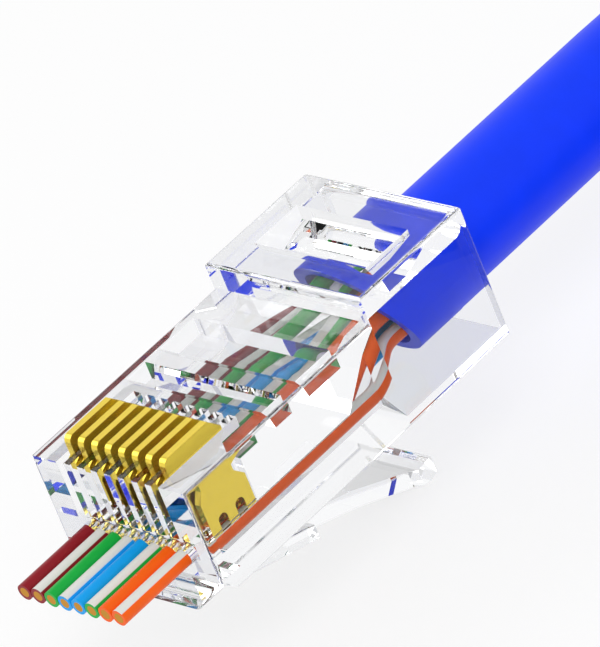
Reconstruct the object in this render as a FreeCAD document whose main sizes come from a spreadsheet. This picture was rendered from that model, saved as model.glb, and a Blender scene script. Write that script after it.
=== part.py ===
"""A pass-through 8P8C modular plug on the end of a round network lead.

Millimetres, +Z up. The contacts face up, the latch hangs below, the nose points along -Y and the
lead leaves along +Y. The plug stands on its latch tip and on the lead, which lies coiled behind it.
Inside each plug piece's own frame, X is across the contacts, Y runs back from the nose's front face
and Z runs up from the underside of the rear block.
"""
import FreeCAD, Part
import math
import os

import Sketcher

Vector = FreeCAD.Vector

SIZES = {
    # housing
    "body_width": 11.68,
    "body_length": 23.25,
    "nose_height": 6.79,
    "rear_height": 8.39,
    "block_length": 8.35,
    "chamfer_length": 0.95,
    "chamfer_height": 0.9,
    "edge_round": 0.22,
    # wires and their guide
    "wire_pitch": 1.02,
    "wire_diameter": 0.96,
    "core_diameter": 0.6,
    "wire_height": 2.155,
    "wire_stickout": 5.2,
    "wire_play": 0.03,
    # contacts and their slots
    "contact_thickness": 0.45,
    "contact_rise": 0.96,
    "contact_front": 0.95,
    "contact_back": 5.15,
    "contact_bevel": 0.75,
    "contact_round": 0.4,
    "ledge_reach": 0.35,
    "ledge_depth": 1.2,
    "head_depth": 2.0,
    "shank_front": 1.4,
    "shank_back": 4.75,
    "neck_bite": 0.6,
    "neck_height": 0.75,
    "foot_gap": 0.66,
    "foot_notch": 0.75,
    "foot_lift": 0.08,
    "slot_play": 0.05,
    "slot_sill": 3.4,
    "slot_back": 6.2,
    "slot_shelf": 5.3,
    # troughs in the nose's top
    "trough_half": 5.1,
    "trough_depth": 1.1,
    "trough_lean": 0.25,
    "trough_a_front": 6.9,
    "trough_a_back": 8.45,
    "trough_b_front": 9.6,
    "trough_b_back": 12.4,
    # jacket cavity, throat and strain relief window
    "cavity_half": 4.6,
    "floor_wall": 0.22,
    "throat_length": 2.2,
    "gather_length": 1.0,
    "cavity_length": 7.85,
    "throat_rise": 6.0,
    "mouth_round": 0.6,
    "jacket_diameter": 6.3,
    "jacket_play": 0.03,
    "ceiling_play": 0.05,
    "jacket_inside": 6.25,
    "jacket_slant": 3.2,
    "jacket_wall": 0.62,
    "jacket_bore": 4.6,
    "window_half": 4.15,
    "window_length": 3.5,
    "window_inset": 2.55,
    "window_wall": 0.2,
    "window_lean": 0.3,
    "bar_length": 1.8,
    "bar_rise": 0.66,
    # latch
    "latch_half": 3.1,
    "handle_half": 1.6,
    "grip_half": 1.85,
    "grip_length": 1.1,
    "hinge_place": 2.55,
    "hinge_drop": 1.15,
    "knuckle_radius": 0.5,
    "knuckle_play": 0.05,
    "root_half": 3.3,
    "root_front": 0.15,
    "root_back": 2.4,
    "root_round": 0.85,
    "catch_place": 8.7,
    "catch_drop": 2.43,
    "latch_depth": 0.94,
    "elbow_depth": 1.1,
    "elbow_place": 12.75,
    "elbow_drop": 3.6,
    "handle_end": 18.25,
    "handle_drop": 5.5,
    "grip_depth": 1.1,
    # lead
    "coil_radius": 33.3,
    "coil_layers": 2.0,
    "coil_x": 46.2,
    "coil_y": 49.1,
}

# Places along the plug that follow from its lengths.
PLACES = {
    "step_place": "body_length - block_length",
    "cavity_start": "body_length - cavity_length",
    "gather_start": "cavity_start - gather_length",
    "throat_start": "gather_start - throat_length",
    "jacket_front": "body_length - jacket_inside",
    "window_back": "body_length - window_inset",
    "window_front": "window_back - window_length",
}

WIRES = 8
FEET = 3
ORDER = ("1", "2", "3", "4", "5", "6", "7", "8")
CEILING = "floor_wall + jacket_diameter + jacket_play + ceiling_play"

doc = FreeCAD.newDocument("modular_plug")
sheet = doc.addObject("Spreadsheet::Sheet", "Sizes")
for row, (alias, value) in enumerate([*SIZES.items(), *PLACES.items()], start=1):
    sheet.set("A%d" % row, alias)
    sheet.set("B%d" % row, str(value) if alias in SIZES else "=" + value)
    sheet.setAlias("B%d" % row, alias)
guess_sheet = doc.addObject("Spreadsheet::Sheet", "Guess")
doc.recompute()

NODES = []


def size(alias):
    """The value of one cell of the sheet."""
    return float(sheet.get(alias))


def bound(expression):
    """Prefixes each alias in a short formula with the sheet's name."""
    words = []
    for word in expression.replace("(", " ( ").replace(")", " ) ").split():
        words.append("Sizes." + word if word in SIZES or word in PLACES else word)
    return " ".join(words)


def seat(item):
    """Places a plug piece: the plug's middle over the origin, its latch tip on the ground."""
    item.setExpression("Placement.Base.y", bound("( wire_stickout - body_length ) / 2"))
    item.setExpression("Placement.Base.z", bound("handle_drop + grip_depth"))


def new_body(label):
    body = doc.addObject("PartDesign::Body", label)
    body.Label = label
    seat(body)
    NODES.append(body)
    return body


def new_sketch(body, name, role, offset=None):
    """A sketch on one of the body's own origin planes, moved along the plane's normal."""
    sketch = body.newObject("Sketcher::SketchObject", name)
    plane = [item for item in body.Origin.OriginFeatures if item.Role == role][0]
    sketch.AttachmentSupport = [(plane, "")]
    sketch.MapMode = "FlatFace"
    if offset is not None:
        sketch.setExpression("AttachmentOffset.Base.z", bound(offset))
    return sketch


def pin(sketch, geometry, end, across, up):
    """Ties one point of a sketch to two formulas measured from the sketch's origin."""
    for kind, formula in (("DistanceX", across), ("DistanceY", up)):
        index = sketch.addConstraint(Sketcher.Constraint(kind, -1, 1, geometry, end, 1.0))
        sketch.setExpression("Constraints[%d]" % index, bound(formula))


def first_guess(formula):
    """The number that a short formula gives, used only for where a sketch's points start."""
    guess_sheet.set("A1", "=" + bound(formula))
    guess_sheet.recompute()
    return float(guess_sheet.get("A1"))


def outline(sketch, corners):
    """A closed outline of straight edges whose corners are given as pairs of formulas."""
    guess = [Vector(first_guess(across), first_guess(up), 0) for across, up in corners]
    first = sketch.GeometryCount
    for index, start in enumerate(guess):
        sketch.addGeometry(Part.LineSegment(start, guess[(index + 1) % len(guess)]))
    for index in range(len(corners)):
        following = (index + 1) % len(corners)
        joint = Sketcher.Constraint("Coincident", first + index, 2, first + following, 1)
        sketch.addConstraint(joint)
    for index, (across, up) in enumerate(corners):
        pin(sketch, first + index, 1, across, up)


def disc(sketch, across, up, radius):
    """A circle with its centre and radius given as formulas."""
    centre = Vector(first_guess(across), first_guess(up), 0)
    ring = sketch.addGeometry(Part.Circle(centre, Vector(0, 0, 1), first_guess(radius)))
    pin(sketch, ring, 3, across, up)
    index = sketch.addConstraint(Sketcher.Constraint("Radius", ring, first_guess(radius)))
    sketch.setExpression("Constraints[%d]" % index, bound(radius))


def add_feature(body, kind, name, sketch, length, midplane=False, reverse=False):
    """A Pad or Pocket of one sketch; it has to change the body's volume."""
    before = body.Shape.Volume if body.Tip else 0.0
    feature = body.newObject("PartDesign::" + kind, name)
    feature.Profile = sketch
    feature.setExpression("Length", bound(length))
    feature.Midplane = midplane
    feature.Reversed = reverse
    doc.recompute()
    change = feature.Shape.Volume - before
    if (kind == "Pad" and change <= 0) or (kind == "Pocket" and change >= 0):
        raise ValueError("%s of %s leaves the volume as it was" % (name, body.Label))
    return feature


def round_edges(body, base, name, picks, radius, kind="Fillet"):
    """Rounds the edges of base for which the test picks(edge) holds."""
    edges = []
    for index, edge in enumerate(base.Shape.Edges, start=1):
        if picks(edge):
            edges.append("Edge%d" % index)
    if not edges:
        raise ValueError("no edge for " + name)
    feature = body.newObject("PartDesign::" + kind, name)
    feature.Base = (base, edges)
    feature.setExpression("Radius", bound(radius))
    doc.recompute()
    return feature


def runs_along(edge, axis):
    """Whether a straight edge runs along one axis of the body."""
    if edge.Degenerated or edge.Curve.TypeId != "Part::GeomLine":
        return False
    return abs(abs(edge.tangentAt(edge.FirstParameter).dot(axis)) - 1) < 1e-3


def ends_at(edge, across, up, tolerance=0.02):
    """Whether an edge along X lies at one place of the side view."""
    middle = edge.CenterOfMass
    return abs(middle.y - across) < tolerance and abs(middle.z - up) < tolerance


# ---------------------------------------------------------------- housing

def make_housing():
    """The moulded shell: nose, rear block, contact slots, wire guide, troughs and cavity."""
    body = new_body("housing")
    side = new_sketch(body, "side_profile", "YZ_Plane")
    outline(side, [
        ("0", "chamfer_height"),
        ("chamfer_length", "0"),
        ("body_length", "0"),
        ("body_length", "rear_height"),
        ("step_place", "rear_height"),
        ("step_place", "nose_height"),
        ("0", "nose_height"),
    ])
    block = add_feature(body, "Pad", "block", side, "body_width", midplane=True)

    half = size("body_width") / 2

    def outer(edge):
        middle = edge.CenterOfMass
        on_side = abs(abs(middle.x) - half) < 1e-3
        inside_corner = abs(middle.y - size("step_place")) < 1e-3 and middle.z < size("rear_height") - 1e-3
        low = middle.z < size("nose_height") / 4 and middle.y < size("step_place") / 4
        top_back = runs_along(edge, Vector(1, 0, 0)) and middle.z > size("rear_height") - 1e-3
        return (on_side or top_back) and not inside_corner and not low

    round_edges(body, block, "outer_rounds", outer, "edge_round")

    root = new_sketch(body, "latch_root_profile", "YZ_Plane")
    outline(root, [
        ("root_front", "chamfer_height + edge_round"),
        ("root_front", "0 - hinge_drop - knuckle_radius"),
        ("root_back", "0 - hinge_drop - knuckle_radius"),
        ("root_back", "chamfer_height + edge_round"),
    ])
    root_block = add_feature(body, "Pad", "latch_root", root, "root_half * 2", midplane=True)
    keel = size("hinge_drop") + size("knuckle_radius")

    def keel_edge(edge):
        return runs_along(edge, Vector(0, 1, 0)) and abs(edge.CenterOfMass.z + keel) < 1e-3

    round_edges(body, root_block, "root_rounds", keel_edge, "root_round")
    hinge = new_sketch(body, "hinge_seat_profile", "YZ_Plane")
    disc(hinge, "hinge_place", "0 - hinge_drop", "knuckle_radius + knuckle_play")
    add_feature(body, "Pocket", "hinge_seat", hinge, "root_half * 2 + 1", midplane=True)

    cut_contact_slots(body)
    cut_wire_guide(body)
    for mark in ("a", "b"):
        cut_trough(body, mark)
    cut_cavity(body)
    cut_window(body)
    return body


def cut_contact_slots(body):
    """One narrow slot for each contact, open at the top and above the sill of the nose."""
    slot = None
    for index in range(WIRES):
        place = "( %s ) * wire_pitch" % (index - (WIRES - 1) / 2)
        slot = new_sketch(body, "slot_profile_" + ORDER[index], "YZ_Plane", place)
        outline(slot, [
            ("0 - chamfer_length", "rear_height"),
            ("0 - chamfer_length", "slot_sill"),
            ("shank_front - slot_play", "slot_sill"),
            ("shank_front - slot_play", "wire_height"),
            ("shank_back + slot_play", "wire_height"),
            ("shank_back + slot_play", "slot_shelf"),
            ("slot_back", "slot_shelf"),
            ("slot_back", "rear_height"),
        ])
        add_feature(body, "Pocket", "slot_" + ORDER[index], slot,
                    "contact_thickness + slot_play * 2", midplane=True)


def channel_outline(sketch):
    """The flat channel that the row of wires lies in, a little wider and higher than the row."""
    half = "( wire_pitch * %d + wire_diameter ) / 2 + wire_play" % (WIRES - 1)
    low = "wire_height - wire_diameter / 2 - wire_play"
    high = "wire_height + wire_diameter / 2 + wire_play"
    outline(sketch, [
        ("0 - ( %s )" % half, low),
        (half, low),
        (half, high),
        ("0 - ( %s )" % half, high),
    ])


def cut_wire_guide(body):
    """Eight round wire holes through the front wall, joined by a slit, then one flat channel."""
    half = "wire_pitch * %s" % ((WIRES - 1) / 2)
    holes = new_sketch(body, "wire_hole_profile", "XZ_Plane")
    disc(holes, "0 - " + half, "wire_height", "wire_diameter / 2 + wire_play")
    first = add_feature(body, "Pocket", "wire_hole", holes, "shank_front")
    row = body.newObject("PartDesign::LinearPattern", "wire_holes")
    row.Originals = [first]
    row.Direction = (holes, ["H_Axis"])
    row.setExpression("Length", bound("wire_pitch * %d" % (WIRES - 1)))
    row.Occurrences = WIRES
    body.Tip = row
    doc.recompute()
    slit = new_sketch(body, "slit_profile", "XZ_Plane")
    outline(slit, [
        ("0 - " + half, "wire_height - wire_diameter / 4"),
        (half, "wire_height - wire_diameter / 4"),
        (half, "wire_height + wire_diameter / 4"),
        ("0 - " + half, "wire_height + wire_diameter / 4"),
    ])
    add_feature(body, "Pocket", "slit", slit, "shank_front")
    channel = new_sketch(body, "channel_profile", "XZ_Plane", "0 - shank_front + slot_play")
    channel_outline(channel)
    add_feature(body, "Pocket", "channel", channel, "throat_start - shank_front + slot_play + 0.1")


def cut_trough(body, mark):
    """A trough across the nose's top, upright behind and leaning in front."""
    front = "trough_%s_front" % mark
    back = "trough_%s_back" % mark
    profile = new_sketch(body, "trough_%s_profile" % mark, "YZ_Plane")
    outline(profile, [
        (front, "nose_height + edge_round"),
        (front, "nose_height"),
        (front + " + trough_lean", "nose_height - trough_depth"),
        (back, "nose_height - trough_depth"),
        (back, "nose_height + edge_round"),
    ])
    add_feature(body, "Pocket", "trough_" + mark, profile, "trough_half * 2", midplane=True)


def cut_cavity(body):
    """The jacket's cavity, open at the rear, and the throat that gathers the wires from it."""
    cavity = new_sketch(body, "cavity_profile", "XZ_Plane", "0 - body_length")
    outline(cavity, [
        ("0 - cavity_half", "floor_wall"),
        ("cavity_half", "floor_wall"),
        ("cavity_half", CEILING),
        ("0 - cavity_half", CEILING),
    ])
    hollow = add_feature(body, "Pocket", "cavity", cavity, "body_length - cavity_start", reverse=True)

    def mouth_edge(edge):
        middle = edge.CenterOfMass
        at_rear = abs(middle.y - size("body_length")) < 1e-3
        inside = abs(middle.x) < size("cavity_half") / 2 and middle.z < size("rear_height") - 0.5
        return at_rear and inside and middle.z > size("rear_height") / 2

    round_edges(body, hollow, "mouth_round", mouth_edge, "mouth_round")

    wedge = new_sketch(body, "throat_profile", "YZ_Plane")
    low = "wire_height - wire_diameter / 2 - wire_play"
    high = "wire_height + wire_diameter / 2 + wire_play"
    climb = "( gather_start - throat_start ) / ( cavity_start - throat_start )"
    middle = high + " + ( throat_rise - ( %s ) ) * %s" % (high, climb)
    outline(wedge, [
        ("throat_start", low),
        ("gather_start", low),
        ("gather_start", middle),
        ("throat_start", high),
    ])
    width = "wire_pitch * %d + wire_diameter + wire_play * 2" % (WIRES - 1)
    add_feature(body, "Pocket", "throat", wedge, width, midplane=True)
    wide = new_sketch(body, "gather_wide", "XZ_Plane", "0 - cavity_start")
    outline(wide, [
        ("0 - cavity_half", "floor_wall"),
        ("cavity_half", "floor_wall"),
        ("cavity_half", "throat_rise"),
        ("0 - cavity_half", "throat_rise"),
    ])
    narrow = new_sketch(body, "gather_narrow", "XZ_Plane", "0 - gather_start")
    half = "( wire_pitch * %d + wire_diameter ) / 2 + wire_play" % (WIRES - 1)
    outline(narrow, [
        ("0 - ( %s )" % half, low),
        (half, low),
        (half, middle),
        ("0 - ( %s )" % half, middle),
    ])
    gather = body.newObject("PartDesign::SubtractiveLoft", "gather")
    gather.Profile = wide
    gather.Sections = [narrow]
    gather.Ruled = True
    doc.recompute()


def cut_window(body):
    """The strain relief window over the jacket: a deep front, and a bar that slopes up to its rear."""
    profile = new_sketch(body, "window_profile", "YZ_Plane")
    outline(profile, [
        ("window_front", "rear_height + edge_round"),
        ("window_front", "rear_height"),
        ("window_front + window_lean", CEILING + " + window_wall"),
        ("window_back - bar_length", CEILING + " + window_wall"),
        ("window_back", CEILING + " + window_wall + bar_rise"),
        ("window_back", "rear_height + edge_round"),
    ])
    add_feature(body, "Pocket", "window", profile, "window_half * 2", midplane=True)


# ---------------------------------------------------------------- latch

def make_latch():
    """The spring latch: a wide arm with two catch shoulders and a narrower handle."""
    body = new_body("latch")
    side = new_sketch(body, "latch_profile", "YZ_Plane")
    outline(side, [
        ("hinge_place", "0 - hinge_drop + knuckle_radius"),
        ("hinge_place", "0 - hinge_drop - knuckle_radius"),
        ("catch_place", "0 - catch_drop - latch_depth"),
        ("elbow_place", "0 - elbow_drop - elbow_depth"),
        ("handle_end - grip_length", "0 - handle_drop - grip_depth + 0.1"),
        ("handle_end - grip_length / 2", "0 - handle_drop - grip_depth"),
        ("handle_end", "0 - handle_drop - grip_depth + 0.2"),
        ("handle_end", "0 - handle_drop + 0.15"),
        ("handle_end - grip_length", "0 - handle_drop"),
        ("elbow_place", "0 - elbow_drop"),
        ("catch_place", "0 - catch_drop"),
    ])
    add_feature(body, "Pad", "arm", side, "latch_half * 2", midplane=True)
    knuckle = new_sketch(body, "knuckle_profile", "YZ_Plane")
    disc(knuckle, "hinge_place", "0 - hinge_drop", "knuckle_radius")
    add_feature(body, "Pad", "knuckle", knuckle, "latch_half * 2", midplane=True)
    for mark, sign in (("right", ""), ("left", "0 - ")):
        trim = new_sketch(body, "trim_" + mark, "XY_Plane", "0 - handle_drop - grip_depth - 1")
        outline(trim, [
            (sign + "handle_half", "catch_place"),
            (sign + "( latch_half + 1 )", "catch_place"),
            (sign + "( latch_half + 1 )", "handle_end + 1"),
            (sign + "grip_half", "handle_end + 1"),
            (sign + "grip_half", "handle_end - grip_length"),
            (sign + "handle_half", "handle_end - grip_length - 0.5"),
        ])
        last = add_feature(body, "Pocket", "trim_%s_cut" % mark, trim, "handle_drop + grip_depth + 2",
                           reverse=True)

    def arm_edges(edge):
        middle = edge.CenterOfMass
        on_arm = size("hinge_place") + 1 < middle.y < size("catch_place") - 0.5
        return on_arm and abs(abs(middle.x) - size("latch_half")) < 1e-3

    round_edges(body, last, "arm_rounds", arm_edges, "edge_round / 2")
    return body


# ---------------------------------------------------------------- contacts

def make_contact(index):
    """One gold blade standing proud of its slot, with a front ledge, a neck and three feet."""
    body = new_body("contact_" + ORDER[index])
    place = "( %s ) * wire_pitch" % ((WIRES - 1) / 2 - index)
    profile = new_sketch(body, "blade_profile", "YZ_Plane", place)
    top = "nose_height + contact_rise"
    low = "wire_height + wire_diameter / 2 + foot_lift"
    corners = [
        ("contact_front", top),
        ("contact_back - contact_bevel", top),
        ("contact_back", top + " - contact_bevel"),
        ("contact_back", top + " - head_depth"),
        ("shank_back - neck_bite", top + " - head_depth - 0.35"),
        ("shank_back - neck_bite", top + " - head_depth - neck_height"),
        ("shank_back", top + " - head_depth - neck_height - neck_bite"),
    ]
    foot = "( shank_back - shank_front - foot_gap * %d ) / %d" % (FEET - 1, FEET)
    for step in range(FEET):
        behind = "shank_back - ( %s + foot_gap ) * %d" % (foot, step)
        ahead = behind + " - " + foot
        corners.append((behind, low))
        corners.append((ahead, low))
        if step < FEET - 1:
            corners.append((ahead, low + " + foot_notch"))
            corners.append((ahead + " - foot_gap", low + " + foot_notch"))
    corners += [
        ("shank_front", top + " - head_depth - neck_height - neck_bite / 2"),
        ("shank_front + ledge_reach", top + " - head_depth - neck_height / 2"),
        ("shank_front + ledge_reach", top + " - head_depth"),
        ("contact_front - ledge_reach", top + " - head_depth + 0.2"),
        ("contact_front - ledge_reach", top + " - ledge_depth - 0.2"),
        ("contact_front", top + " - ledge_depth"),
    ]
    outline(profile, corners)
    blade = add_feature(body, "Pad", "blade", profile, "contact_thickness", midplane=True)
    crown = size("nose_height") + size("contact_rise")
    sole = size("wire_height") + size("wire_diameter") / 2 + size("foot_lift")

    def crown_edge(edge):
        return runs_along(edge, Vector(1, 0, 0)) and ends_at(edge, size("contact_front"), crown)

    def arch_edge(edge):
        along = runs_along(edge, Vector(1, 0, 0))
        return along and abs(edge.CenterOfMass.z - sole - size("foot_notch")) < 1e-3

    crowned = round_edges(body, blade, "crown_round", crown_edge, "contact_round")
    round_edges(body, crowned, "arch_rounds", arch_edge, "foot_gap * 0.47")
    return body


# ---------------------------------------------------------------- wires

def rounded_path(points, radii):
    """Straight runs joined by tangent arcs, one radius for each inner point."""
    edges = []
    start = points[0]
    for index, radius in enumerate(radii, start=1):
        corner = points[index]
        back = (points[index - 1] - corner).normalize()
        ahead = (points[index + 1] - corner).normalize()
        turn = math.pi - back.getAngle(ahead)
        reach = radius * math.tan(turn / 2)
        enter = corner + back * reach
        leave = corner + ahead * reach
        bisector = (back + ahead).normalize()
        centre = corner + bisector * (radius / math.cos(turn / 2))
        middle = centre - bisector * radius
        edges.append(Part.LineSegment(start, enter).toShape())
        edges.append(Part.Arc(enter, middle, leave).toShape())
        start = leave
    edges.append(Part.LineSegment(start, points[-1]).toShape())
    return Part.Wire(edges)


def wire_route(index):
    """The row at the nose, then a bend up or in to the wire's own place in the jacket."""
    side = 1 if index < WIRES / 2 else -1
    rank = index if side > 0 else WIRES - 1 - index
    pitch = size("wire_pitch")
    axis = size("floor_wall") + size("jacket_play") + size("jacket_diameter") / 2
    row = side * ((WIRES - 1) / 2 - rank) * pitch
    room = size("jacket_diameter") / 2 - size("jacket_wall") - size("wire_diameter") / 2
    heading = math.radians((-25, 21, 65, -67)[rank])
    reach = (0.95, 0.855, 0.825, 0.71)[rank] * room
    across = side * reach * math.cos(heading)
    up = axis + reach * math.sin(heading)
    leave = size("throat_start") + (2.6, 0.8, 0.5, 2.3)[rank]
    arrive = size("jacket_front") + (0.8, 0.3, 0.3, 0.3)[rank]
    low = size("wire_height")
    return [
        Vector(row, -size("wire_stickout"), low),
        Vector(row, leave, low),
        Vector(across, arrive, up),
        Vector(across, size("jacket_front") + size("jacket_bore") - 0.1, up),
    ]


def make_wire(index):
    """One solid copper core and the insulation round it, swept along the same route."""
    mark = ORDER[index]
    points = wire_route(index)
    path = doc.addObject("Part::Feature", "route_" + mark)
    path.Shape = Part.makePolygon(points)
    sweeps = []
    for name, formula in (("core", "core_diameter / 2"), ("skin", "wire_diameter / 2")):
        ring = doc.addObject("Part::Circle", "%s_ring_%s" % (name, mark))
        ring.setExpression("Radius", bound(formula))
        ring.Placement = FreeCAD.Placement(points[0], FreeCAD.Rotation(Vector(1, 0, 0), 90))
        sweep = doc.addObject("Part::Sweep", "%s_sweep_%s" % (name, mark))
        sweep.Sections = [ring]
        sweep.Spine = (path, ["Edge%d" % (edge + 1) for edge in range(len(path.Shape.Edges))])
        sweep.Solid = True
        sweep.Frenet = False
        sweep.Transition = "Right corner"
        sweeps.append(sweep)
    core, skin = sweeps
    core.Label = "core_" + mark
    seat(core)
    bore = doc.addObject("Part::Sweep", "bore_sweep_" + mark)
    bore.Sections = core.Sections
    bore.Spine = core.Spine
    bore.Solid = True
    bore.Frenet = False
    bore.Transition = "Right corner"
    insulation = doc.addObject("Part::Cut", "insulation_" + mark)
    insulation.Base = skin
    insulation.Tool = bore
    insulation.Label = "insulation_" + mark
    seat(insulation)
    NODES.append(core)
    NODES.append(insulation)


# ---------------------------------------------------------------- lead

def jacket_axis():
    """Height of the jacket's axis above the ground."""
    inside = size("floor_wall") + size("jacket_play") + size("jacket_diameter") / 2
    return size("handle_drop") + size("grip_depth") + inside


def make_jacket():
    """The jacket's end inside the plug, cut a little aslant, with a bore that the wires come out of."""
    body = new_body("jacket")
    height = "floor_wall + jacket_play + jacket_diameter / 2"
    end = new_sketch(body, "jacket_profile", "XZ_Plane", "0 - body_length")
    disc(end, "0", height, "jacket_diameter / 2")
    add_feature(body, "Pad", "sleeve", end, "body_length - jacket_front")
    slant = new_sketch(body, "slant_profile", "YZ_Plane")
    outline(slant, [
        ("jacket_front - 0.5", height + " + jacket_diameter / 2"),
        ("jacket_front", height + " + jacket_diameter / 2"),
        ("jacket_front + jacket_slant", height + " - jacket_diameter / 2"),
        ("jacket_front - 0.5", height + " - jacket_diameter / 2"),
    ])
    add_feature(body, "Pocket", "slant", slant, "jacket_diameter + 1", midplane=True)
    mouth = new_sketch(body, "mouth_profile", "XZ_Plane", "0 - jacket_front")
    disc(mouth, "0", height, "jacket_diameter / 2 - jacket_wall")
    add_feature(body, "Pocket", "mouth", mouth, "jacket_bore")
    return body


def make_cable():
    """The free lead: a tube down to the ground and the neat coil that it ends in."""
    radius = size("jacket_diameter") / 2
    rear = (size("body_length") + size("wire_stickout")) / 2
    points = [
        Vector(0, rear, jacket_axis()),
        Vector(0, 40.0, jacket_axis()),
        Vector(10.6, 62.7, radius),
        Vector(24.8, 74.6, radius),
    ]
    radii = []
    for index in (1, 2):
        back = points[index] - points[index - 1]
        ahead = points[index + 1] - points[index]
        radii.append(0.45 * min(back.Length, ahead.Length) / math.tan(back.getAngle(ahead) / 2))
    print("cable bend radii:", ", ".join("%.1f" % value for value in radii))
    spine = rounded_path(points, radii)
    rim = Part.Wire([Part.Circle(points[0], Vector(0, 1, 0), radius).toShape()])
    tube = doc.addObject("Part::Feature", "cable_tube")
    tube.Label = "cable_tube"
    tube.Shape = spine.makePipeShell([rim], True, False)
    expected = math.pi * radius ** 2 * spine.Length
    print("cable volume: %.1f, section times length: %.1f" % (tube.Shape.Volume, expected))
    NODES.append(tube)

    coil = doc.addObject("PartDesign::Body", "cable_coil")
    coil.Label = "cable_coil"
    coil.setExpression("Placement.Base.x", bound("coil_x"))
    coil.setExpression("Placement.Base.y", bound("coil_y"))
    section = new_sketch(coil, "coil_section", "XZ_Plane")
    inner = "coil_radius - jacket_diameter / 2"
    outer = "coil_radius + jacket_diameter / 2"
    top = "jacket_diameter * coil_layers"
    bevel = "jacket_diameter * 0.3"
    outline(section, [
        (inner + " + " + bevel, "0"),
        (outer + " - " + bevel, "0"),
        (outer, bevel),
        (outer, top + " - " + bevel),
        (outer + " - " + bevel, top),
        (inner + " + " + bevel, top),
        (inner, top + " - " + bevel),
        (inner, bevel),
    ])
    ring = coil.newObject("PartDesign::Revolution", "ring")
    ring.Profile = section
    ring.ReferenceAxis = (section, ["V_Axis"])
    ring.Angle = 360
    NODES.append(coil)


make_housing()
make_latch()
for number in range(WIRES):
    make_contact(number)
    make_wire(number)
make_jacket()
make_cable()
doc.recompute()

for item in doc.Objects:
    if "Invalid" in item.State or "Error" in item.State:
        raise ValueError("%s failed: %s" % (item.Label, item.State))
for item in NODES:
    if item.Shape.isNull() or not item.Shape.isValid() or not item.Shape.Solids:
        raise ValueError("%s has no valid solid" % item.Label)

os.makedirs("parts", exist_ok=True)
for item in NODES:
    item.Shape.exportStep("parts/%s.step" % item.Label)
    print("%-16s solids %d volume %9.3f" % (item.Label, len(item.Shape.Solids), item.Shape.Volume))
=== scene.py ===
"""Looks of the clear modular plug on its blue lead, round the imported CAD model."""
import math

import bpy
from mathutils import Matrix, Vector


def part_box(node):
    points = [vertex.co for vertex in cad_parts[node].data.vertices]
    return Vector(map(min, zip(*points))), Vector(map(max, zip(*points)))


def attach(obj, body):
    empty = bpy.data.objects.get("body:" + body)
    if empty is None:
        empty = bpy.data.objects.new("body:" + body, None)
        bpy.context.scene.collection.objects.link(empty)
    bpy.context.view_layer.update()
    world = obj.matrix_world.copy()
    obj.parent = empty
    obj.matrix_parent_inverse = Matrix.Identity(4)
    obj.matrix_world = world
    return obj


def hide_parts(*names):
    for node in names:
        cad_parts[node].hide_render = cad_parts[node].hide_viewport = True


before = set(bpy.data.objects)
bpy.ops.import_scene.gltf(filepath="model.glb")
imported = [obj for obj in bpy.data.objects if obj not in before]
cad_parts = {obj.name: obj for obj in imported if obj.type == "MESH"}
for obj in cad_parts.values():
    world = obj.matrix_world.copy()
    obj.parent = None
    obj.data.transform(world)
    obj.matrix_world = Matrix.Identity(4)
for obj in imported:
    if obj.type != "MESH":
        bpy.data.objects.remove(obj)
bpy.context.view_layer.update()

MM = 0.001
scene = bpy.context.scene

# The part's own sizes, in millimetres, as in the part's source.
PITCH = 1.02
WIRE_DIAMETER = 0.96
CORE_DIAMETER = 0.6
JACKET_DIAMETER = 6.3
WIRES = 8

# ------------------------------------------------------------------ camera

# The camera's axes and place, solved from points matched between the photograph and the part.
RIGHT = Vector((0.69786593, 0.63770508, -0.32606038))
DOWN = Vector((0.16415339, -0.58553773, -0.79385089))
AHEAD = Vector((-0.6971634, 0.50047757, -0.51330828))
PLACE = Vector((320.927, -224.425, 248.441)) * MM

camera_data = bpy.data.cameras.new("camera")
camera_data.sensor_width = 36.0
camera_data.lens = 488.32
camera_data.clip_start = 0.01
camera_data.clip_end = 10.0
camera = bpy.data.objects.new("camera", camera_data)
scene.collection.objects.link(camera)
turn = Matrix((RIGHT, -DOWN, -AHEAD)).transposed().to_4x4()
camera.matrix_world = Matrix.Translation(PLACE) @ turn
scene.camera = camera


# --------------------------------------------------------------- materials

# A Mix node's sockets for colours: the two that it mixes, and its result.
MIX_A, MIX_B, MIX_RESULT = 6, 7, 2
# How dark the dark side of a metal's grain is, as a share of its colour.
GRAIN_SHADE = 0.93


def new_material(name):
    """A node material, its tree and its shader."""
    material = bpy.data.materials.new(name)
    material.use_nodes = True
    tree = material.node_tree
    shader = tree.nodes["Principled BSDF"]
    return material, tree, shader


def add(tree, kind, **values):
    """A node of one kind, with its settings and unlinked inputs set by name."""
    node = tree.nodes.new(kind)
    for name, value in values.items():
        if name in node.inputs:
            node.inputs[name].default_value = value
        else:
            setattr(node, name, value)
    return node


def fine_bump(tree, shader, scale, strength, distance=0.00002):
    """A shallow noise bump, in metres of relief. It returns the noise."""
    place = add(tree, "ShaderNodeTexCoord")
    noise = add(tree, "ShaderNodeTexNoise", Scale=scale, Detail=3.0)
    bump = add(tree, "ShaderNodeBump", Strength=strength, Distance=distance)
    tree.links.new(place.outputs["Object"], noise.inputs["Vector"])
    tree.links.new(noise.outputs["Fac"], bump.inputs["Height"])
    tree.links.new(bump.outputs["Normal"], shader.inputs["Normal"])
    return noise


def mottle(tree, shader, noise, places, dark, light):
    """Drives the base colour from the noise, between two colours at two places of its range."""
    ramp = add(tree, "ShaderNodeValToRGB")
    low, high = ramp.color_ramp.elements
    low.position, high.position = places
    low.color, high.color = (*dark, 1), (*light, 1)
    tree.links.new(noise.outputs["Fac"], ramp.inputs["Fac"])
    tree.links.new(ramp.outputs["Color"], shader.inputs["Base Color"])


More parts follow.
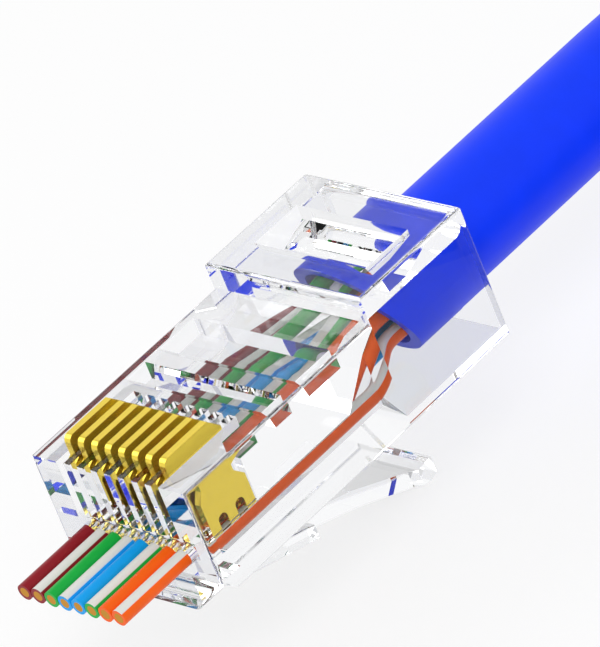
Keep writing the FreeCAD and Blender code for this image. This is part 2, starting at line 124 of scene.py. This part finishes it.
def plastic(name, colour, roughness, noise_scale, strength, spread):
    """Opaque plastic with a faint unevenness in its colour and surface."""
    material, tree, shader = new_material(name)
    noise = fine_bump(tree, shader, noise_scale, strength)
    dark = [channel * (1 - spread) for channel in colour]
    light = [min(1.0, channel * (1 + spread)) for channel in colour]
    mottle(tree, shader, noise, (0.3, 0.7), dark, light)
    shader.inputs["Roughness"].default_value = roughness
    shader.inputs["Specular IOR Level"].default_value = 0.2
    return material


# The clear plastic's grey, from where it is seen face on to where it is seen edge on, and its
# tint, which is a trace blue. Face on, the grey is the plastic's own slight loss of light. The
# fall towards edge on is painted shade that stands in for dark reflections along its edges.
PAINTED_EDGE_SHADE = ((0.0, 0.96), (0.32, 0.96), (0.5, 0.84), (0.75, 0.45), (1.0, 0.12))
TINT = (0.985, 0.99, 1.0)


def clear_plastic():
    """Clear plastic that is water white face on, with painted shade greying it where it is seen
    edge on.
    """
    material, tree, shader = new_material("clear_polycarbonate")
    weight = add(tree, "ShaderNodeLayerWeight", Blend=0.5)
    ramp = add(tree, "ShaderNodeValToRGB")
    stops = ramp.color_ramp.elements
    for position, grey in PAINTED_EDGE_SHADE[1:-1]:
        stops.new(position)
    for stop, (position, grey) in zip(stops, PAINTED_EDGE_SHADE):
        stop.position = position
        stop.color = (*[grey * share for share in TINT], 1)
    # Painted shade: the colour darkens as the surface turns edge on to the view, in place of dark
    # reflections.
    tree.links.new(weight.outputs["Facing"], ramp.inputs["Fac"])
    tree.links.new(ramp.outputs["Color"], shader.inputs["Base Color"])
    shader.inputs["Transmission Weight"].default_value = 1.0
    shader.inputs["IOR"].default_value = 1.5
    shader.inputs["Specular Tint"].default_value = (0.05, 0.05, 0.05, 1)
    shader.inputs["Roughness"].default_value = 0.0
    return material


def metal(name, colour, roughness, metallic):
    """Plated or bare metal with a very fine grain."""
    material, tree, shader = new_material(name)
    shader.inputs["Metallic"].default_value = metallic
    shader.inputs["Roughness"].default_value = roughness
    noise = fine_bump(tree, shader, scale=2500.0, strength=0.1, distance=0.00001)
    dark = [channel * GRAIN_SHADE for channel in colour]
    mottle(tree, shader, noise, (0.25, 0.75), dark, colour)
    return material


# The normal's height where a wire's pale strip begins, and where it is full.
STRIP_EDGE = (0.64, 0.70)


def insulation(name, colour, strip):
    """Wire insulation: its colour all round and, on a marked wire, a pale strip along its top."""
    material = plastic(name, colour, roughness=0.35, noise_scale=700.0, strength=0.08, spread=0.04)
    if strip is None:
        return material
    tree = material.node_tree
    shader = tree.nodes["Principled BSDF"]
    base = shader.inputs["Base Color"].links[0].from_socket
    facing = add(tree, "ShaderNodeNewGeometry")
    parts = add(tree, "ShaderNodeSeparateXYZ")
    edge = add(tree, "ShaderNodeMapRange")
    edge.inputs["From Min"].default_value, edge.inputs["From Max"].default_value = STRIP_EDGE
    mix = add(tree, "ShaderNodeMix", data_type="RGBA")
    tree.links.new(facing.outputs["Normal"], parts.inputs["Vector"])
    tree.links.new(parts.outputs["Z"], edge.inputs["Value"])
    tree.links.new(edge.outputs["Result"], mix.inputs["Factor"])
    tree.links.new(base, mix.inputs[MIX_A])
    mix.inputs[MIX_B].default_value = (*strip, 1)
    tree.links.new(mix.outputs[MIX_RESULT], shader.inputs["Base Color"])
    return material


def wear(node, material):
    """Puts a material on every slot of a carried-over CAD node."""
    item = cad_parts[node]
    if not item.material_slots:
        item.data.materials.append(material)
    for holder in item.material_slots:
        holder.material = material


WHITE = (0.75, 0.75, 0.71)
BLUE_JACKET = (0.002, 0.045, 0.97)
GOLD = (0.90, 0.68, 0.08)
COPPER = (0.60, 0.28, 0.02)
COLOURS = {
    "orange": (0.92, 0.12, 0.005),
    "green": (0.01, 0.42, 0.055),
    "blue": (0.005, 0.35, 0.84),
    "brown": (0.27, 0.012, 0.02),
}
# Each wire's colour from the first contact on, and whether it is marked with a pale strip.
ORDER = (
    ("orange", True), ("orange", False), ("green", True), ("blue", False),
    ("blue", True), ("green", False), ("brown", True), ("brown", False),
)

clear = clear_plastic()
gold = metal("gold_plating", GOLD, roughness=0.2, metallic=0.85)
copper = metal("bare_copper", COPPER, roughness=0.4, metallic=1.0)
jacket_blue = plastic("jacket_blue", BLUE_JACKET,
                      roughness=0.45, noise_scale=600.0, strength=0.1, spread=0.03)

wear("housing", clear)
wear("latch", clear)
for number in range(1, WIRES + 1):
    wear("contact_%d" % number, gold)
    wear("core_%d" % number, copper)
wear("jacket", jacket_blue)
skins = []
for number, (colour, marked) in enumerate(ORDER, start=1):
    strip = WHITE if marked else None
    skins.append(insulation("insulation_%d" % number, COLOURS[colour], strip))


# ------------------------------------------------------------------- wires

RING_POINTS = 28
LINE_STEPS = 14
# How far before and after each corner of a wire its next control points lie.
EASE = 1.3 * MM
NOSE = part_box("housing")[0][1]
# A wire's rank is 0 at the row's outer ends and 3 in the middle. By rank, the millimetres from
# the nose's front to where the wires leave the row and to where they reach the jacket.
THROAT_LEAVE = (14.8, 13.0, 12.7, 14.5)
JACKET_ARRIVE = (17.8, 17.3, 17.3, 17.3)
MIDDLE_RANK = 3


def smooth_line(corners):
    """Points along a NURBS spline with these control points."""
    guide = bpy.data.curves.new("guide", "CURVE")
    guide.dimensions = "3D"
    guide.resolution_u = LINE_STEPS
    run = guide.splines.new("NURBS")
    run.points.add(len(corners) - 1)
    for point, corner in zip(run.points, corners):
        point.co = (*corner, 1)
    run.order_u = 3
    run.use_endpoint_u = True
    item = bpy.data.objects.new("guide", guide)
    scene.collection.objects.link(item)
    evaluated = item.evaluated_get(bpy.context.evaluated_depsgraph_get())
    line = bpy.data.meshes.new_from_object(evaluated)
    points = [vertex.co.copy() for vertex in line.vertices]
    bpy.data.objects.remove(item)
    bpy.data.meshes.remove(line)
    return points


def sleeve(name, points, outer, inner, material):
    """A tube mesh with a wall, swept along points that never run straight up."""
    count = len(points)
    verts = []
    for index, point in enumerate(points):
        after, before = points[min(index + 1, count - 1)], points[max(index - 1, 0)]
        tangent = (after - before).normalized()
        side = tangent.cross(Vector((0, 0, 1))).normalized()
        up = side.cross(tangent)
        for radius in (outer, inner):
            for step in range(RING_POINTS):
                angle = 2 * math.pi * step / RING_POINTS
                verts.append(point + (side * math.cos(angle) + up * math.sin(angle)) * radius)
    # Each point has an outer ring of vertices and then an inner one.
    inside, stride = RING_POINTS, 2 * RING_POINTS
    last = stride * (count - 1)
    faces = []
    for step in range(RING_POINTS):
        following = (step + 1) % RING_POINTS
        for base in range(0, last, stride):
            ahead = base + stride
            faces.append((base + step, base + following, ahead + following, ahead + step))
            faces.append((base + inside + following, base + inside + step,
                          ahead + inside + step, ahead + inside + following))
        faces.append((step, inside + step, inside + following, following))
        faces.append((last + following, last + inside + following,
                      last + inside + step, last + step))
    mesh = bpy.data.meshes.new(name)
    mesh.from_pydata(verts, [], faces)
    mesh.polygons.foreach_set("use_smooth", [True] * len(faces))
    mesh.set_sharp_from_angle(angle=math.radians(45))
    mesh.materials.append(material)
    item = bpy.data.objects.new(name, mesh)
    scene.collection.objects.link(item)
    return item


def wire_line(number):
    """A wire's line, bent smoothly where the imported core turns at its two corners."""
    low, high = (Vector(corner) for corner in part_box("core_%d" % number))
    half = CORE_DIAMETER / 2 * MM
    rank = min(number - 1, WIRES - number)
    row = ((WIRES + 1) / 2 - number) * PITCH * MM
    across = low.x + half if row > 0 else high.x - half
    start, end = low.z + half, high.z - half
    # The two middle wires fall on their way to the jacket, and the others rise.
    if rank == MIDDLE_RANK:
        start, end = end, start
    leave = THROAT_LEAVE[rank] * MM + NOSE
    arrive = JACKET_ARRIVE[rank] * MM + NOSE
    first, second = Vector((row, leave, start)), Vector((across, arrive, end))
    slope = (second - first).normalized() * EASE
    back = Vector((0, EASE, 0))
    return smooth_line([
        (row, low.y, start), first - back, first, first + slope,
        second - slope, second, second + back, (across, high.y, end),
    ])


for number, skin in enumerate(skins, start=1):
    wire = sleeve("wire_%d" % number, wire_line(number),
                  WIRE_DIAMETER / 2 * MM, CORE_DIAMETER / 2 * MM, skin)
    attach(wire, "plug")
    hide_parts("insulation_%d" % number)
    colour, marked = ORDER[number - 1]

# -------------------------------------------------------------------- lead

# The coil's sizes are in millimetres. Its turns, climb and tuck are counted in control points.
COIL_X, COIL_Y, COIL_RADIUS = 46.2, 49.1, 33.3
TURN_POINTS = 16
COIL_STEPS = 33
ENTRY_ANGLE = 130.0
CLIMB_START, CLIMB_STEPS = 12.0, 3.2
TUCK_START, TUCK_STEPS = 23.5, 4.0


def progress(step, start, steps):
    """How much of a change that takes some steps is done at one step of the coil."""
    return min(1.0, max(0.0, (step - start) / steps))


# The lead's line in millimetres: straight out of the plug, down to the floor, into the coil.
route = [
    (0, 14.225, 10.0),
    (0, 22.0, 10.0),
    (0, 42.0, 10.0),
    (10.6, 62.7, 3.15),
    (24.8, 74.6, 3.15),
]
for step in range(1, COIL_STEPS + 1):
    # The second turn lies on the first, and its tail is tucked down inside the ring.
    angle = math.radians(ENTRY_ANGLE - 360 * step / TURN_POINTS)
    tuck = math.radians(90 * progress(step, TUCK_START, TUCK_STEPS))
    radius = COIL_RADIUS - JACKET_DIAMETER * math.sin(tuck)
    climb = progress(step, CLIMB_START, CLIMB_STEPS)
    height = JACKET_DIAMETER * (0.5 + climb * math.cos(tuck))
    route.append((COIL_X + radius * math.cos(angle), COIL_Y + radius * math.sin(angle), height))

line = bpy.data.curves.new("lead", "CURVE")
line.dimensions = "3D"
line.bevel_depth = JACKET_DIAMETER / 2 * MM
line.bevel_resolution = 10
line.resolution_u = 10
line.use_fill_caps = True
spline = line.splines.new("NURBS")
spline.points.add(len(route) - 1)
for point, spot in zip(spline.points, route):
    point.co = (*[value * MM for value in spot], 1)
spline.order_u = 3
spline.use_endpoint_u = True
lead = bpy.data.objects.new("lead", line)
scene.collection.objects.link(lead)
line.materials.append(jacket_blue)
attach(lead, "plug")
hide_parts("cable_tube", "cable_coil")

# The far end is cut square, with the four pairs standing a little proud of the jacket.
END_STICKOUT = 1.2 * MM
PAIR_SPREAD = 1.3 * MM
# In degrees: the first pair's heading round the lead, and from a pair's heading to its first wire.
PAIR_HEADING, PAIR_TWIST = 45, 40
# A core is all but solid: its tube has a bore of this many millimetres.
CORE_BORE = 0.02
tip, before = (Vector(spot) * MM for spot in (route[-1], route[-2]))
along = (tip - before).normalized()
beside = along.cross(Vector((0, 0, 1))).normalized()
above = beside.cross(along)
for number, skin in enumerate(skins, start=1):
    pair, member = divmod(number - 1, 2)
    heading = math.radians(PAIR_HEADING + 90 * pair)
    twist = math.radians(PAIR_HEADING + 90 * pair + PAIR_TWIST + 180 * member)
    centre = tip + (beside * math.cos(heading) + above * math.sin(heading)) * PAIR_SPREAD
    centre += (beside * math.cos(twist) + above * math.sin(twist)) * WIRE_DIAMETER / 2 * MM
    stub = [centre - along * MM, centre + along * END_STICKOUT]
    for part, outer, inner, material in (
        ("end_wire", WIRE_DIAMETER, CORE_DIAMETER, skin),
        ("end_core", CORE_DIAMETER, CORE_BORE, copper),
    ):
        end = sleeve("%s_%d" % (part, number), stub, outer / 2 * MM, inner / 2 * MM, material)
        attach(end, "plug")

# ------------------------------------------------------------ light, floor

# These rays see the floor and the world as a pale background. The others bring their light.
BACKGROUND_RAYS = ("Is Camera Ray", "Is Glossy Ray", "Is Transmission Ray")
FLOOR_GREY = 0.93
# How much of the floor those rays see as a white glow. The rest of it keeps the shadow.
FLOOR_GLOW_SHARE = 0.78
WORLD_LIGHT = 0.55
# How high a ray points where a dome's grey begins and where it is full, and that grey.
REFLECTED_DOME = (0.55, 0.92, 0.3)
SEEN_DOME = (0.5, 0.9, 0.55)
LAMP_TARGET = (0, 0, 0.01)
# Each lamp's name, its place and side in metres, and its power in watts.
LAMPS = (
    ("key", (0.35, -0.25, 0.55), 0.35, 2.2),
    ("fill", (-0.45, -0.2, 0.4), 0.4, 1.0),
)
# With fewer bounces, light that is caught inside the plastic ends in black patches.
BOUNCES = 48
GLOSSY_BOUNCES = 24


def stage_box(name, low, high, material):
    """A flat or boxy piece of the studio."""
    corners = [(x, y, z) for x in (low[0], high[0])
               for y in (low[1], high[1]) for z in (low[2], high[2])]
    mesh = bpy.data.meshes.new(name)
    faces = [(0, 1, 3, 2), (4, 6, 7, 5), (0, 4, 5, 1), (2, 3, 7, 6), (0, 2, 6, 4), (1, 5, 7, 3)]
    mesh.from_pydata(corners, [], faces)
    item = bpy.data.objects.new(name, mesh)
    scene.collection.objects.link(item)
    mesh.materials.append(material)


def any_ray(tree, *kinds):
    """1 for a ray of any of these kinds, by their names on the Light Path node, and else 0."""
    path = add(tree, "ShaderNodeLightPath")
    found = path.outputs[kinds[0]]
    for kind in kinds[1:]:
        either = add(tree, "ShaderNodeMath", operation="MAXIMUM")
        tree.links.new(found, either.inputs[0])
        tree.links.new(path.outputs[kind], either.inputs[1])
        found = either.outputs[0]
    return found


def mix_shaders(tree, share, lit, shown, output):
    """Puts two shaders on an output, mixed by a share of the second."""
    mix = add(tree, "ShaderNodeMixShader")
    tree.links.new(share, mix.inputs["Fac"])
    tree.links.new(lit.outputs[0], mix.inputs[1])
    tree.links.new(shown.outputs[0], mix.inputs[2])
    tree.links.new(mix.outputs[0], tree.nodes[output].inputs["Surface"])


floor_material, floor_tree, floor_shader = new_material("studio_floor")
floor_shader.inputs["Base Color"].default_value = (FLOOR_GREY, FLOOR_GREY, FLOOR_GREY, 1)
floor_shader.inputs["Roughness"].default_value = 0.9
glow = add(floor_tree, "ShaderNodeEmission", Strength=1.0)
floor_share = add(floor_tree, "ShaderNodeMath", operation="MULTIPLY")
floor_share.inputs[1].default_value = FLOOR_GLOW_SHARE
floor_tree.links.new(any_ray(floor_tree, *BACKGROUND_RAYS), floor_share.inputs[0])
mix_shaders(floor_tree, floor_share.outputs[0], floor_shader, glow, "Material Output")
stage_box("studio_floor", (-3, -3, -0.01), (3, 3, 0), floor_material)

world = bpy.data.worlds.new("studio")
scene.world = world
world.use_nodes = True
tree = world.node_tree
soft = tree.nodes["Background"]
soft.inputs["Color"].default_value = (1, 1, 1, 1)
soft.inputs["Strength"].default_value = WORLD_LIGHT
seen = add(tree, "ShaderNodeBackground", Strength=1.0)
sky = add(tree, "ShaderNodeTexCoord")
sky_parts = add(tree, "ShaderNodeSeparateXYZ")
tree.links.new(sky.outputs["Generated"], sky_parts.inputs["Vector"])


def dome(low, high, grey):
    """White at the horizon, falling to a grey overhead, by how high a ray points."""
    ramp = add(tree, "ShaderNodeValToRGB")
    horizon, zenith = ramp.color_ramp.elements
    horizon.position, zenith.position = low, high
    horizon.color = (1, 1, 1, 1)
    zenith.color = (grey, grey, grey, 1)
    tree.links.new(sky_parts.outputs["Z"], ramp.inputs["Fac"])
    return ramp.outputs["Color"]


# A refracted ray counts as glossy too, so the dome is chosen by the other two kinds.
choice = add(tree, "ShaderNodeMix", data_type="RGBA")
through = any_ray(tree, "Is Camera Ray", "Is Transmission Ray")
tree.links.new(through, choice.inputs["Factor"])
tree.links.new(dome(*REFLECTED_DOME), choice.inputs[MIX_A])
tree.links.new(dome(*SEEN_DOME), choice.inputs[MIX_B])
tree.links.new(choice.outputs[MIX_RESULT], seen.inputs["Color"])
mix_shaders(tree, any_ray(tree, *BACKGROUND_RAYS), soft, seen, "World Output")

for name, place, side, power in LAMPS:
    light = bpy.data.lights.new(name, "AREA")
    light.shape = "SQUARE"
    light.size = side
    light.energy = power
    lamp = bpy.data.objects.new(name, light)
    scene.collection.objects.link(lamp)
    lamp.location = place
    aim = Vector(LAMP_TARGET) - Vector(place)
    lamp.rotation_euler = aim.to_track_quat("-Z", "Y").to_euler()

scene.view_settings.view_transform = "Standard"
scene.cycles.max_bounces = BOUNCES
scene.cycles.transmission_bounces = BOUNCES
scene.cycles.glossy_bounces = GLOSSY_BOUNCES
